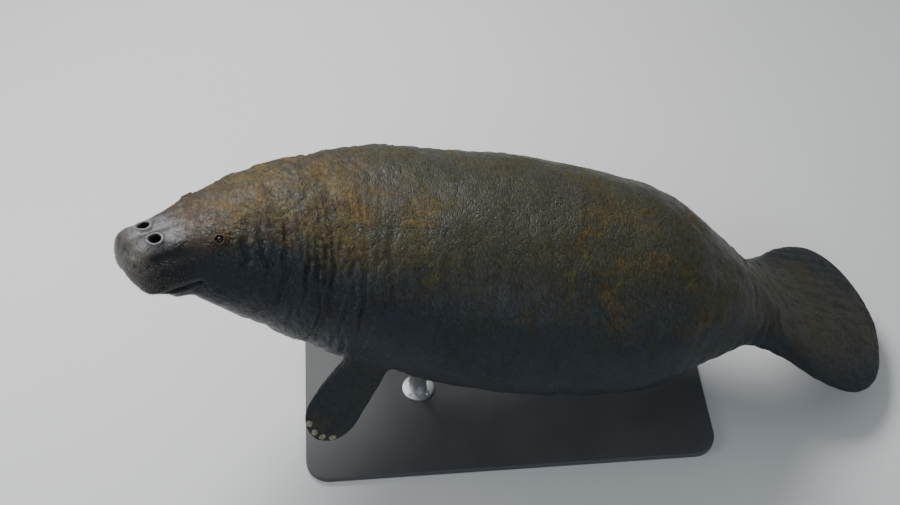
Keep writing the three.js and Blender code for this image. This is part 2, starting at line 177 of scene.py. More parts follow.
FLESH = ["head", "neck", "chest", "loin", "tail_stock", "tail_paddle", "flipper_left", "flipper_right"]
UP = np.array([0.0, 0.0, 1.0])


def smooth_step(x, start, end):
    """0 before start and 1 after end, or the other way round where end comes first."""
    t = np.clip((np.asarray(x, float) - start) / (end - start), 0, 1)
    return t * t * (3 - 2 * t)


def band(x, rise, fall):
    """1 between a rise and a fall, each given by its start and end, and 0 outside them."""
    return smooth_step(x, *rise) * (1 - smooth_step(x, *fall))


def bell(x, centre, width):
    return np.exp(-(((x - centre) / width) ** 2))


def unit(vectors):
    return vectors / np.maximum(np.linalg.norm(vectors, axis=-1, keepdims=True), 1e-9)


def curve_through(places, heights):
    """A smooth curve through the heights at the places, flat beyond both ends."""
    places, heights = np.array(places, float), np.array(heights, float)
    slopes = np.zeros_like(heights)
    slopes[1:-1] = (heights[2:] - heights[:-2]) / (places[2:] - places[:-2])
    slopes[-1] = (heights[-1] - heights[-2]) / (places[-1] - places[-2])

    def curve(x):
        x = np.clip(x, places[0], places[-1])
        i = np.clip(np.searchsorted(places, x, side="right") - 1, 0, len(places) - 2)
        span = places[i + 1] - places[i]
        t = (x - places[i]) / span
        start = heights[i] * (1 + 2 * t) * (1 - t) ** 2 + slopes[i] * span * t * (1 - t) ** 2
        end = heights[i + 1] * t * t * (3 - 2 * t) + slopes[i + 1] * span * t * t * (t - 1)
        return start + end

    return curve


section_places = [row[1] for row in SECTIONS]
half_width, back_height, belly_depth, level, squareness = (
    curve_through(section_places, [row[column] for row in SECTIONS]) for column in range(2, 7)
)


# Spine


def behind(bend, station):
    turn, start, end = bend
    return turn * smooth_step(station, start, end)


def ahead(bend, station):
    return bend[0] - behind(bend, station)


def tailward(station):
    """Direction of the spine at a station, towards the tail."""
    lift = ahead(NECK_LIFT, station) - ahead(SNOUT_DROOP, station)
    drop = behind(TAIL_DROP, station) - behind(PADDLE_LIFT, station)
    pitch = np.radians(BODY_PITCH + lift + drop)
    swing = ahead(NECK_TURN, station) + ahead(SNOUT_TURN, station) + behind(TAIL_SWING, station)
    heading = np.radians(swing)
    flat = np.cos(pitch)
    return np.stack([flat * np.cos(heading), flat * np.sin(heading), -np.sin(pitch)], -1)


spine_stations = np.arange(0, BODY_LENGTH + SPINE_STEP, SPINE_STEP)
spine = np.cumsum(tailward(spine_stations[:-1] + SPINE_STEP / 2) * SPINE_STEP, 0)
spine = np.vstack([np.zeros(3), spine])
spine += SPINE_HEIGHT * UP - spine[int(GIRTH_STATION / SPINE_STEP)]


def spine_frame(station):
    """The spine's place at a station, and its directions to the tail, to the left and up."""
    station = np.asarray(station, float)
    origin = np.stack([np.interp(station, spine_stations, spine[:, axis]) for axis in range(3)], -1)
    back = tailward(station)
    left = unit(np.cross(back, UP))
    up = np.cross(left, back)
    roll = np.radians(ahead(NECK_ROLL, station) - behind(TAIL_ROLL, station))[..., None]
    return origin, back, left * np.cos(roll) + up * np.sin(roll), up * np.cos(roll) - left * np.sin(roll)


# Skin surface


def soft_relief(station, degrees):
    around = np.abs(degrees)
    folds = sum(NAPE_FOLD_DEPTH * bell(station, place, length) for place, length in NAPE_FOLDS.items())
    swellings = sum(
        rise * bell(station, place, length) * bell(around, at, spread)
        for place, at, length, spread, rise in RELIEF.values()
    )
    return swellings - folds


def skin_point(station, angle):
    """Points of the bare form, before its wrinkles, in millimetres."""
    station, angle = np.broadcast_arrays(np.asarray(station, float), np.asarray(angle, float))
    origin, _, left, up = spine_frame(station)
    short = 1 - np.clip(station, 0, MUZZLE_ROUNDING) / MUZZLE_ROUNDING
    muzzle = np.clip(1 - short**MUZZLE_SQUARENESS, 0, 1) ** (1 / MUZZLE_SQUARENESS)
    over = np.clip((station - PADDLE_WIDEST) / (BODY_LENGTH - PADDLE_WIDEST), 0, 1)
    paddle = (1 - over**PADDLE_ROUNDNESS) ** (1 / PADDLE_ROUNDNESS)
    power = 2 / squareness(station)
    sine, cosine = np.sin(angle), np.cos(angle)
    aside = half_width(station) * muzzle * paddle * np.sign(sine) * np.abs(sine) ** power
    rise = np.where(cosine > 0, back_height(station), belly_depth(station)) * muzzle
    above = rise * np.sign(cosine) * np.abs(cosine) ** power
    relief = soft_relief(station, np.degrees(angle)) * muzzle * muzzle * paddle
    stretch = 1 + relief / np.maximum(np.hypot(aside, above), 1)
    height = above * stretch + level(station) * muzzle
    return origin + left * (aside * stretch)[..., None] + up * height[..., None]


def skin_frame(station, angle):
    """A place on the bare form, with the directions to the tail, across towards the left, and out."""
    point = skin_point(station, angle)
    back = unit(skin_point(station + 2.0, angle) - skin_point(station - 2.0, angle))
    across = unit(skin_point(station, angle + 0.01) - skin_point(station, angle - 0.01))
    out = unit(np.cross(across, back))
    return point, back, np.cross(back, out), out


def spread_places(low, high, count, density):
    """Places from low to high, closer together where the density is higher."""
    fine = np.linspace(low, high, 6000)
    share = np.cumsum(density(fine))
    share = (share - share[0]) / (share[-1] - share[0])
    return np.interp(np.linspace(0, 1, count), share, fine)


def ring_density(station):
    trunk = curve_through(
        [0, 60, 130, 330, 420, 900, 1000, 2250, 2350, 2930, 2980],
        [0.34, 0.27, 0.25, 0.2, 0.15, 0.12, 0.075, 0.075, 0.09, 0.09, 0.25],
    )
    nose = 0.16 * bell(station, NOSTRIL["station"], 30)
    eye = 0.45 * bell(station, EYE["station"], 24)
    return trunk(station) + nose + eye


def side_density(angle):
    degrees = np.degrees(angle)
    return 1 + 2.8 * bell(degrees, EYE["around"], 8) + 0.9 * bell(degrees, NOSTRIL["around"], 11)


half_turn = spread_places(0, np.pi, HALF_SIDES + 1, side_density)
body_angles = np.concatenate([half_turn[:-1], -half_turn[:0:-1]])
body_stations = spread_places(0.6, BODY_LENGTH - 0.6, BODY_RINGS, ring_density)


class Skin:
    """Points of a skin with what the wrinkles do to them, and the values that its finish reads."""

    names = (
        "groove", "pale", "algae", "crown", "brow", "flank", "muzzle", "tip",
        "whisker", "hair", "skin_u", "skin_v",
    )

    def __init__(self, points, out, lie, local):
        self.points, self.out, self.lie = points, out, lie
        self.local = local  # the points again, laid out straight: along the limb, across it and up
        self.values = {name: np.zeros(points.shape[:-1]) for name in self.names}

    def push(self, height, direction=None):
        self.points += (self.out if direction is None else direction) * height[..., None]

    def mark(self, name, amount):
        self.values[name] = np.maximum(self.values[name], amount)

    def lumps(self, size, seed):
        """Smooth noise between about -1 and 1, with lumps of a size along the body and across it."""
        cell = np.array([size[0], size[1], size[1]], float)
        places = (self.local / cell + seed).reshape(-1, 3).tolist()
        return np.array([noise.noise(place) for place in places]).reshape(self.local.shape[:-1])

    def crinkle(self, amount, size, seed, sharp=0.16, dark=0.25):
        """A net of wandering creases, with the skin full between them, where there is an amount of it."""
        line = np.exp(-np.abs(self.lumps(size, seed)) / sharp)
        self.push(amount * (0.35 - line))
        # Painted shade along the creases, as dark as the dark setting says.
        self.mark("groove", dark * (amount > 0) * np.minimum(np.abs(amount), 1) * line**2)


def ripple(x, seed):
    """A smooth wandering line between about -1 and 1."""
    waves = [(0.021, 0.5, 3.1), (0.047, 0.3, 5.8), (0.095, 0.2, 8.5)]
    return sum(size * np.sin(x * rate * 2 * np.pi + seed * shift) for rate, size, shift in waves)


def press_crease(skin, along, across, seed, place, window, depth, width, lean=0.0, wander=8.0):
    """A sharp crease with soft shoulders, at a place along the skin, over a window across it."""
    low, high = window
    fade = band(across, (low - 14, low + 12), (high - 12, high + 14))
    centre = place + lean * (across - (low + high) / 2) + wander * ripple(across, seed)
    away = np.abs(along - centre) / width
    fade = fade * (0.75 + 0.25 * np.sin(across * 0.11 + seed))
    skin.push(fade * depth * (0.45 * bell(away, 2.2, 1.1) - np.exp(-(away**1.3))))
    # Painted shade in the crease.
    skin.mark("groove", 0.32 * fade * np.exp(-(away**1.4)) * min(depth / 6.0, 1.0))


def crease_skin(skin, station, around):
    """Creases of the neck, throat and tail, where the bent body bunches the skin, and softer ones."""
    rng = np.random.default_rng(11)
    far_round = np.abs(around)
    for place in NECK_CREASES:
        for side in (1, -1):
            low = rng.uniform(5, 75)
            window = (low, low + rng.uniform(40, 100))
            depth = rng.uniform(3.5, 7.5) * (1.15 if place < 700 else 0.8)
            at, seed = place + rng.uniform(-13, 13), rng.uniform(0, 9)
            width, lean = rng.uniform(6, 10), rng.uniform(-0.3, 0.45)
            press_crease(skin, station, around * side, seed, at, window, depth, width, lean, 11)
    for place in THROAT_CREASES:
        press_crease(skin, station, far_round, place, place, (112, 215), rng.uniform(5, 8), 9, 0, 7)
    for place in TAIL_CREASES:
        window = (rng.uniform(10, 50), rng.uniform(125, 200))
        depth = rng.uniform(3.0, 5.0)
        press_crease(skin, station, far_round, place, place, window, depth, 9, 0, 9)
    for place in FLANK_CREASES:
        for side in (1, -1):
            low = rng.uniform(20, 115)
            window = (low, low + rng.uniform(25, 70))
            at, seed = place + rng.uniform(-25, 25), rng.uniform(0, 9)
            depth = rng.uniform(2.0, 4.0)
            press_crease(skin, station, around * side, seed, at, window, depth, 11, 0.3, 16)


def crinkle_skin(skin, station, around):
    """Fine nets of wrinkles: over the bridge and crown, the cheeks, the chin, the neck and the trunk."""
    far_round = np.abs(around)
    bridge = band(station, (125, 175), (300, 380)) * (1 - smooth_step(far_round, 60, 95))
    skin.crinkle(1.7 * bridge, (13, 30), 2.0)
    crown = band(station, (215, 330), (620, 860))
    skin.crinkle(3.4 * crown * (1 - smooth_step(far_round, 75, 135)), (24, 46), 5.0)
    skin.crinkle(1.8 * crown * (1 - smooth_step(far_round, 80, 130)), (13, 22), 6.5, 0.2)
    cheek = band(station, (205, 250), (330, 470)) * bell(far_round, 108, 34)
    skin.crinkle(2.4 * cheek, (52, 15), 7.0)
    chin = band(station, (60, 110), (300, 380)) * smooth_step(far_round, 135, 158)
    skin.crinkle(1.8 * chin, (17, 28), 8.0)
    neck = band(station, (380, 560), (900, 1250))
    skin.crinkle(3.2 * neck, (38, 110), 9.0)
    trunk = band(station, (700, 1000), (2350, 2600))
    skin.crinkle(2.4 * trunk, (74, 150), 10.0, 0.2, 0.12)
    skin.crinkle(1.2 * trunk, (36, 60), 12.0, 0.24, 0.10)
    paddle = smooth_step(station, 2380, 2560)
    skin.crinkle(2.0 * paddle, (230, 34), 14.0, 0.2, 0.12)


def cut_mouth(skin, around):
    """The line of the mouth, drawn up in the middle, with a full upper lip over it."""
    origin, back, left, up = spine_frame(MOUTH["corner"] / 2)
    place = skin.points - origin
    along = place @ back + MOUTH["corner"] / 2
    aside, height = place @ left, place @ up
    reach = (along - MOUTH["corner"]) / (MOUTH["corner"] - MOUTH["front"])
    turn = np.arctan2(np.abs(aside) / MOUTH["half width"], reach)
    line = MOUTH["lip height"] + MOUTH["rise"] * (1 + np.cos(turn))
    line = line + MOUTH["notch"] * bell(turn, np.pi, MOUTH["notch spread"])
    slope = np.sqrt(np.clip(1 - (skin.out @ up) ** 2, 0.12, 1))
    away = (height - line) / slope
    inside = (1 - smooth_step(along, MOUTH["corner"] - 12, MOUTH["corner"] + 6)) * (np.abs(around) > 70)
    lips = 5.0 * bell(away, 14, 8) + 3.5 * bell(away, -12, 7)
    skin.push(inside * (lips - MOUTH["depth"] * bell(away, 0, MOUTH["width"])))
    # Painted shade along the mouth's slot.
    skin.mark("groove", inside * bell(away, 0, MOUTH["width"] * 1.25))
    skin.mark("pale", 0.3 * inside * bell(away, 12, 7))


def nearby(skin, station, angle):
    """Distances of every point from a place on the skin: to the tail, across, and straight."""
    point, back, across, out = skin_frame(station, angle)
    away = skin.points - point
    return away @ back, away @ across, np.linalg.norm(away, axis=-1), back, out


def sink_nostril(skin, hand):
    angle = hand * math.radians(NOSTRIL["around"])
    along, across, away, back, out = nearby(skin, NOSTRIL["station"], angle)
    radius = np.where(away < 60, np.hypot(along / NOSTRIL["long"], across / NOSTRIL["wide"]), 9.0)
    inward = unit(NOSTRIL["lean"] * back - out)
    skin.push(NOSTRIL["rim"] * bell(radius, 1.2, 0.2))
    skin.push(NOSTRIL["depth"] * (1 - smooth_step(radius, 0.5, 1.0)), inward)
    # Painted shade: the nostril's hollow is darkened to near black.
    skin.mark("groove", 1.35 * (1 - smooth_step(radius, 0.82, 1.03)))
    skin.mark("pale", bell(radius, 1.17, 0.13))


def set_eye(skin, hand):
    """Lids with a socket inside them, and the rings and rays of wrinkles round the eye."""
    angle = hand * math.radians(EYE["around"])
    along, across, away, _, _ = nearby(skin, EYE["station"], angle)
    turn = np.arctan2(across, along)
    wobble = 1 + 0.06 * np.sin(3 * turn + 0.6) + 0.04 * np.sin(5 * turn + 2.0)
    almond = np.hypot(along / EYE["long"], across / (EYE["wide"] * (1 - 0.12 * np.cos(2 * turn))))
    radius = np.where(away < 80, almond * wobble, 9.0)
    skin.push(EYE["lid"] * bell(radius, 1.2, 0.3) + 2.0 * bell(radius, 0, 3.4))
    skin.push(-EYE["socket"] * (1 - smooth_step(radius, 0.7, 1.02)))
    rays = band(radius, (1.5, 2.0), (2.6, 4.6))
    ray_wave = np.cos(turn * 13 + 3.0 * np.sin(radius * 1.3) + 1.3 * np.sin(3 * turn))
    broken = 0.6 + 0.4 * np.sin(turn * 2 + radius * 2.0 + 1.0)
    rings = bell(radius, 1.8, 0.15) + 0.9 * bell(radius, 2.55, 0.2) + 0.7 * bell(radius, 3.5, 0.26)
    rings = broken * rings
    skin.push(-1.8 * rays * smooth_step(ray_wave, 0.1, 1.0) - 2.6 * rings)
    # Painted shade in the rays and rings of wrinkles, and in the socket round the eyeball.
    skin.mark("groove", 0.35 * rays * smooth_step(ray_wave, 0.3, 1.0) + 0.4 * rings)
    skin.mark("groove", 1.3 * (1 - smooth_step(radius, 0.78, 1.12)))
    skin.mark("pale", 0.06 * bell(radius, 1.28, 0.2))


def open_ear(skin, hand):
    angle = hand * math.radians(EAR["around"])
    _, _, away, _, _ = nearby(skin, EAR["station"], angle)
    skin.push(1.6 * bell(away, 10, 4) - EAR["depth"] * bell(away, 0, EAR["radius"]))
    # Painted shade in the ear hole.
    skin.mark("groove", bell(away, 0, EAR["radius"]))


def mark_growth(skin, station, far_round):
    """Where rust, ochre and olive growth lies: on the crown, on the back, and before the crown and eyes."""
    crown = band(station, (150, 250), (520, 980))
    skin.mark("crown", crown * (1 - smooth_step(far_round, 36, 66)))
    trunk = band(station, (480, 800), (2400, 2850))
    lower_edge = 80 - 13 * (1 - smooth_step(station, 850, 1250))
    skin.mark("algae", trunk * (1 - smooth_step(far_round, lower_edge - 42, lower_edge)))
    front = 0.95 * bell(station, 222, 50) * (1 - smooth_step(far_round, 40, 78))
    round_eyes = 0.7 * bell(station, EYE["station"], 48) * bell(far_round, 50, 20)
    skin.mark("brow", np.maximum(front, round_eyes))


def mark_muzzle(skin, station, far_round, above):
    """The muzzle, its tip and where its bristles grow. Flank runs from 0 on top to 1 below, and sets how
    far the finish darkens the sides with painted shade.
    """
    nose = 1 - smooth_step(station, 60, 170)
    by_height = 0.5 - 0.5 * np.clip((above + 10) / 105, -1, 1)
    skin.mark("flank", far_round / 180 * (1 - nose) + by_height * nose)
    skin.mark("muzzle", 1 - smooth_step(station, 140, 255))
    skin.mark("tip", (1 - smooth_step(station, 22, 76)) * smooth_step(by_height, 0.85, 0.30))
    pads = bell(station, 52, 56) * band(far_round, (58, 84), (146, 172))
    skin.mark("whisker", pads * (1 - np.clip(2 * skin.values["groove"], 0, 1)))


def body_skin():
    """The body from snout to paddle as rings of points, wrinkled, with its values marked."""
    station, angle = np.meshgrid(body_stations, body_angles, indexing="ij")
    points, back, _, out = skin_frame(station, angle)
    around, far_round = np.degrees(angle), np.abs(np.degrees(angle))
    origin, _, left, up = spine_frame(station)
    aside, above = ((points - origin) * left).sum(-1), ((points - origin) * up).sum(-1)
    skin = Skin(points, out, unit(0.8 * back + out), np.stack([station, aside, above], -1))
    trunk = smooth_step(station, 420, 800) * (1 - 0.7 * smooth_step(station, 2150, 2500))
    skin.push(trunk * (6 * skin.lumps((250, 250), 3.0) + 3.5 * skin.lumps((95, 95), 8.0)))
    skin.push(1.3 * smooth_step(station, 20, 60) * skin.lumps((26, 26), 5.0))
    crease_skin(skin, station, around)
    crinkle_skin(skin, station, around)
    cut_mouth(skin, around)
    for hand in HAND.values():
        sink_nostril(skin, hand)
        set_eye(skin, hand)
        open_ear(skin, hand)
    mark_growth(skin, station, far_round)
    mark_muzzle(skin, station, far_round, above)
    skin.mark("hair", (0.25 + 0.75 * (1 - smooth_step(station, 500, 900))) * (skin.values["groove"] < 0.4))
    skin.values["skin_u"] = 0.01 + 0.72 * station / BODY_LENGTH
    skin.values["skin_v"] = 0.5 + 0.49 * around / 180
    return skin


# Flippers

flipper_distances, flipper_chords, flipper_depths = zip(*FLIPPER_SECTIONS)
flipper_chord = curve_through(flipper_distances, flipper_chords)
flipper_depth = curve_through(flipper_distances, flipper_depths)


def flipper_frame(side):
    hand = HAND[side]
    _, back, left, up = spine_frame(SHOULDER["station"])
    skin_place, _, _, out = skin_frame(SHOULDER["station"], hand * math.radians(SHOULDER["around"]))
    forward, aside, down = REACH[side]
    along = unit(-forward * back + hand * aside * left - down * up)
    chord = unit(back - along * (back @ along))
    thick = np.cross(along, chord) * hand
    return skin_place - SHOULDER["inset"] * out - SHOULDER["depth"] * along, along, chord, thick


def flipper_rounding(distance):
    over = np.clip((distance - FLIPPER["round from"]) / (FLIPPER["length"] - FLIPPER["round from"]), 0, 1)
    return np.sqrt(1 - over ** FLIPPER["roundness"])


def flipper_point(side, distance, angle):
    """Points of a flipper: distance from the shoulder, and angle round it from the trailing edge."""
    root, along, chord, thick = flipper_frame(side)
    distance, angle = np.broadcast_arrays(np.asarray(distance, float), np.asarray(angle, float))
    rounding, share = flipper_rounding(distance), distance / FLIPPER["length"]
    over_chord = FLIPPER["sweep"] * share**2 + flipper_chord(distance) * rounding * np.cos(angle)
    depth = flipper_depth(distance) * np.maximum(rounding, FLIPPER["rim"])
    over_thick = FLIPPER["curl"] * share**2 + depth * np.sin(angle)
    across = chord * over_chord[..., None]
    return root + along * distance[..., None] + across + thick * over_thick[..., None]


def flipper_skin(side):
    reach = FLIPPER["length"] - FLIPPER["round from"]
    tip_turn = np.linspace(0, 0.5 * np.pi * 0.985, FLIPPER_TIP_RINGS)
    tip = FLIPPER["round from"] + reach * np.sin(tip_turn)
    limb = np.arange(FLIPPER_ROOT, FLIPPER["round from"] - 5, FLIPPER_RING_STEP)
    distances = np.concatenate([limb, tip])
    angles = np.linspace(0, 2 * np.pi, FLIPPER_SIDES, endpoint=False) * HAND[side]
    distance, angle = np.meshgrid(distances, angles, indexing="ij")
    points = flipper_point(side, distance, angle)
    root, along, chord, thick = flipper_frame(side)
    out = unit(chord * np.cos(angle)[..., None] * 0.5 + thick * np.sin(angle)[..., None])
    local = np.stack([distance, (points - root) @ chord, (points - root) @ thick], -1)
    skin = Skin(points, out, unit(out + 0.9 * along), local)
    turn = np.degrees(angle) * HAND[side]
    facing_out = smooth_step(np.sin(angle) * HAND[side], 0.1, 0.8)
    rng = np.random.default_rng(5 if side == "left" else 6)
    for place in FLIPPER_CREASES:
        window = (rng.uniform(-10, 40), rng.uniform(120, 200))
        press_crease(skin, distance, turn, place, place, window, rng.uniform(1.6, 3.2), 7, 0.05, 7)
    fingers = band(distance, (300, 400), (500, 560)) * facing_out
    skin.push(3.0 * fingers * np.cos(np.cos(angle) * 11.0))
    skin.push(1.6 * skin.lumps((42, 42), 2.0))
    skin.crinkle(1.6 * (1 - smooth_step(distance, 420, 520)), (17, 34), 4.0)
    # Painted shade: the flippers take the dark slate of the shaded sides.
    skin.mark("flank", np.full(distance.shape, 0.55))
    skin.mark("algae", 0.2 * facing_out)
    skin.mark("hair", np.full(distance.shape, 0.15))
    skin.values["skin_u"] = 0.76 + 0.2 * distance / FLIPPER["length"]
    skin.values["skin_v"] = (0.26 if side == "left" else 0.74) + 0.22 * (turn / 180 - 1)
    return skin


# Meshes


def new_object(name, mesh):
    made = bpy.data.objects.new(name, mesh)
    bpy.context.scene.collection.objects.link(made)
    return made


def evaluated_mesh(made):
    """A plain mesh of what an object's modifiers make of it."""
    return bpy.data.meshes.new_from_object(made.evaluated_get(bpy.context.evaluated_depsgraph_get()))


def mesh_from(name, points, faces):
    """A smooth mesh from points in millimetres, its faces turned out."""
    mesh = bpy.data.meshes.new(name)
    mesh.from_pydata((np.asarray(points) * MM).tolist(), [], faces)
    mesh.polygons.foreach_set("use_smooth", np.ones(len(mesh.polygons), bool))
    mesh.update()
    return mesh


def ring_faces(rings, sides):
    """Faces of a closed tube of rings, with one point at each end, first and last in the list."""
    ring = np.arange(rings - 1)[:, None] * sides + 1
    side = np.arange(sides)[None, :]
    after = (side + 1) % sides
    quads = np.stack([ring + side, ring + sides + side, ring + sides + after, ring + after], -1)
    last = (rings - 1) * sides + 1
    front = [(0, 1 + i, 1 + (i + 1) % sides) for i in range(sides)]
    end = [(rings * sides + 1, last + (i + 1) % sides, last + i) for i in range(sides)]
    return quads.reshape(-1, 4).tolist() + front + end


def closed_rings(name, points):
    """A closed mesh through rings of points, with the end rings' middles added, and all its points."""
    rings, sides = points.shape[:2]
    flat = np.vstack([points[0].mean(0), points.reshape(-1, 3), points[-1].mean(0)])
    mesh = mesh_from(name, flat, ring_faces(rings, sides))
    centre = Vector(points.reshape(-1, 3).mean(0) * MM)
    volume = sum((p.center - centre).dot(p.normal) * p.area for p in mesh.polygons)
    if volume < 0:
        mesh.flip_normals()
    return mesh, flat


def joined_rings(name, shapes):
    """One mesh of several closed shapes of rings, and how many faces each of them has."""
    points, faces, counts, start = [], [], [], 0
    for rings in shapes:
        mesh, flat = closed_rings("shape", rings)
        faces += [[start + i for i in polygon.vertices] for polygon in mesh.polygons]
        counts.append(len(mesh.polygons))
        bpy.data.meshes.remove(mesh)
        points.append(flat)
        start += len(flat)
    return mesh_from(name, np.vstack(points), faces), counts


def padded_values(skin, name):
    """One value for each point of closed_rings, end points included."""
    values = skin.lie if name == "lie" else skin.values[name]
    flat = values.reshape(-1, 3) if name == "lie" else values.reshape(-1)
    return np.concatenate([flat[:1], flat, flat[-1:]])


def positions(mesh):
    flat = np.empty(len(mesh.vertices) * 3)
    mesh.vertices.foreach_get("co", flat)
    return flat.reshape(-1, 3)


def nearest(tree_points, query):
    """For each query point, the index of the nearest of the tree's points, and how far it is."""
    tree = KDTree(len(tree_points))
    for i, point in enumerate(tree_points):
        tree.insert(point, i)
    tree.balance()
    found = [tree.find(point)[1:] for point in query]
    return np.array([index for index, _ in found]), np.array([away for _, away in found])


ROOT_REACH = 0.042  # metres from a flipper's root that are smoothed
ROOT_ROUNDS = 60
ROOT_EASE = 0.6


def soften_roots(mesh, body_points, limb_points):
    """Smooths the skin where a limb joins the body, so that the flesh runs on without a crease."""
    at = positions(mesh)
    _, from_body = nearest(body_points, at)
    _, from_limb = nearest(limb_points, at)
    closeness = np.clip(1 - np.maximum(from_body, from_limb) / ROOT_REACH, 0, 1)
    weight = smooth_step(closeness, 0, 0.8)
    edges = np.empty(len(mesh.edges) * 2, int)
    mesh.edges.foreach_get("vertices", edges)
    edges = edges.reshape(-1, 2)
    edges = edges[(weight[edges] > 0).any(1)]
    pairs = np.vstack([edges, edges[:, ::-1]])
    touched = np.unique(pairs[:, 0])
    count = np.maximum(np.bincount(pairs[:, 0], minlength=len(at)), 1)
    for _ in range(ROOT_ROUNDS):
        sums = [np.bincount(pairs[:, 0], at[pairs[:, 1], axis], len(at)) for axis in range(3)]
        mean = np.stack([total / count for total in sums], -1)
        at[touched] += (mean[touched] - at[touched]) * ROOT_EASE * weight[touched, None]
    mesh.vertices.foreach_set("co", at.ravel())
    mesh.update()


def make_skin():
    """One closed skin of body and flippers, with the values that the finish and the hairs read."""
    body = body_skin()
    mesh, body_points = closed_rings("skin", body.points)
    skin = new_object("skin", mesh)
    sources = [(body, body_points)]
    for side in HAND:
        limb = flipper_skin(side)
        limb_mesh, limb_points = closed_rings("limb", limb.points)
        limb_object = new_object("limb", limb_mesh)
        union = skin.modifiers.new("union", "BOOLEAN")
        union.operation, union.solver, union.object = "UNION", "MANIFOLD", limb_object
        joined = evaluated_mesh(skin)
        skin.modifiers.remove(union)
        skin.data = joined
        bpy.data.objects.remove(limb_object)
        soften_roots(joined, body_points * MM, limb_points * MM)
        sources.append((limb, limb_points))
    mesh = skin.data
    mesh.name = "skin"
    mesh.polygons.foreach_set("use_smooth", np.ones(len(mesh.polygons), bool))
    all_points = np.vstack([points for _, points in sources]) * MM
    index, _ = nearest(all_points, positions(mesh))
    for name in Skin.names:
        values = np.concatenate([padded_values(source, name) for source, _ in sources])
        mesh.attributes.new(name, "FLOAT", "POINT").data.foreach_set("value", values[index])
    lie = np.concatenate([padded_values(source, "lie") for source, _ in sources])[index]
    mesh.attributes.new("lie", "FLOAT_VECTOR", "POINT").data.foreach_set("vector", lie.ravel())
    return skin


# Finishes


class Wire:
    """A value that runs between nodes, so that sums on it read as sums."""

    def __init__(self, nodes, socket):
        self.nodes, self.socket = nodes, socket

    def joined(self, operation, first, second):
        return self.nodes.node("ShaderNodeMath", {"operation": operation}, {0: first, 1: second})

    def __add__(self, other):
        return self.joined("ADD", self, other)

    def __sub__(self, other):
        return self.joined("SUBTRACT", self, other)

    def __rsub__(self, other):
        return self.joined("SUBTRACT", other, self)

    def __mul__(self, other):
        return self.joined("MULTIPLY", self, other)

    __radd__ = __add__
    __rmul__ = __mul__


class Nodes:
    """A tree of nodes, added one at a time."""

    def __init__(self, tree):
        self.tree = tree

    def feed(self, socket, value):
        if isinstance(value, Wire):
            self.tree.links.new(value.socket, socket)
        else:
            socket.default_value = value

    def node(self, kind, settings, sockets, output=0):
        made = self.tree.nodes.new(kind)
        for name, value in settings.items():
            if name == "stops":
                self.set_stops(made.color_ramp, value)
            else:
                setattr(made, name, value)
        for name, value in sockets.items():
            self.feed(made.inputs[name], value)
        return Wire(self, made.outputs[output])

    def set_stops(self, ramp, stops):
        while len(ramp.elements) < len(stops):
            ramp.elements.new(1.0)
        for element, (place, colour) in zip(ramp.elements, stops):
            element.position, element.color = place, (*colour, 1)


class Finish(Nodes):
    """A surface finish, built from nodes."""

    def __init__(self, name):
        self.material = bpy.data.materials.new(name)
        self.material.use_nodes = True
        super().__init__(self.material.node_tree)
        self.shader = self.tree.nodes["Principled BSDF"]
        self.place = self.node("ShaderNodeTexCoord", {}, {}, "Object")

    def stretched(self, scale):
        return self.node("ShaderNodeMapping", {}, {"Vector": self.place, "Scale": scale})

    def noise(self, scale, detail=4.0, rough=0.55, bend=0.0, place=None):
        sockets = {"Vector": place or self.place, "Scale": scale, "Detail": detail}
        sockets.update({"Roughness": rough, "Distortion": bend})
        return self.node("ShaderNodeTexNoise", {}, sockets)

    def cracks(self, scale, place=None):
        """Distance to the nearest edge of irregular cells."""
        settings = {"feature": "DISTANCE_TO_EDGE"}
        return self.node("ShaderNodeTexVoronoi", settings, {"Vector": place or self.place, "Scale": scale})

    def creases(self, scale, width, place=None):
        """0 along wandering lines and 1 between them."""
        line = self.noise(scale, 2.0, 0.5, 0.0, place)
        away = self.node("ShaderNodeMath", {"operation": "ABSOLUTE"}, {0: line - 0.5})
        return self.ease(away, 0.0, width)

    def ease(self, value, low, high, start=0.0, end=1.0):
        settings = {"interpolation_type": "SMOOTHSTEP"}
        sockets = {"Value": value, "From Min": low, "From Max": high, "To Min": start, "To Max": end}
        return self.node("ShaderNodeMapRange", settings, sockets)

    def mix(self, amount, first, second, blend="MIX"):
        settings = {"data_type": "RGBA", "blend_type": blend}
        colours = [c if isinstance(c, Wire) else (*c, 1) for c in (first, second)]
        return self.node("ShaderNodeMix", settings, {0: amount, 6: colours[0], 7: colours[1]}, 2)

    def value(self, name):
        return self.node("ShaderNodeAttribute", {"attribute_name": name}, {}, "Fac")

    def warped(self, scale, amount, place=None):
        """The place, pushed about by soft noise, so that what is drawn there wanders."""
        source = place or self.place
        sockets = {"Vector": source, "Scale": scale, "Detail": 2.0}
        push = self.node("ShaderNodeTexNoise", {}, sockets, "Color")
        centred = self.vector("SUBTRACT", {0: push, 1: (0.5, 0.5, 0.5)})
        sized = self.vector("SCALE", {0: centred, "Scale": amount})
        return self.vector("ADD", {0: source, 1: sized})

    def vector(self, operation, sockets):
        return self.node("ShaderNodeVectorMath", {"operation": operation}, sockets)

    def bump(self, height, distance, strength=1.0, under=None):
        sockets = {"Height": height, "Distance": distance, "Strength": strength}
        if under:
            sockets["Normal"] = under
        return self.node("ShaderNodeBump", {}, sockets)

    def set(self, **sockets):
        for name, value in sockets.items():
            self.feed(self.shader.inputs[name.replace("_", " ").title().replace("Ior", "IOR")], value)
        return self.material


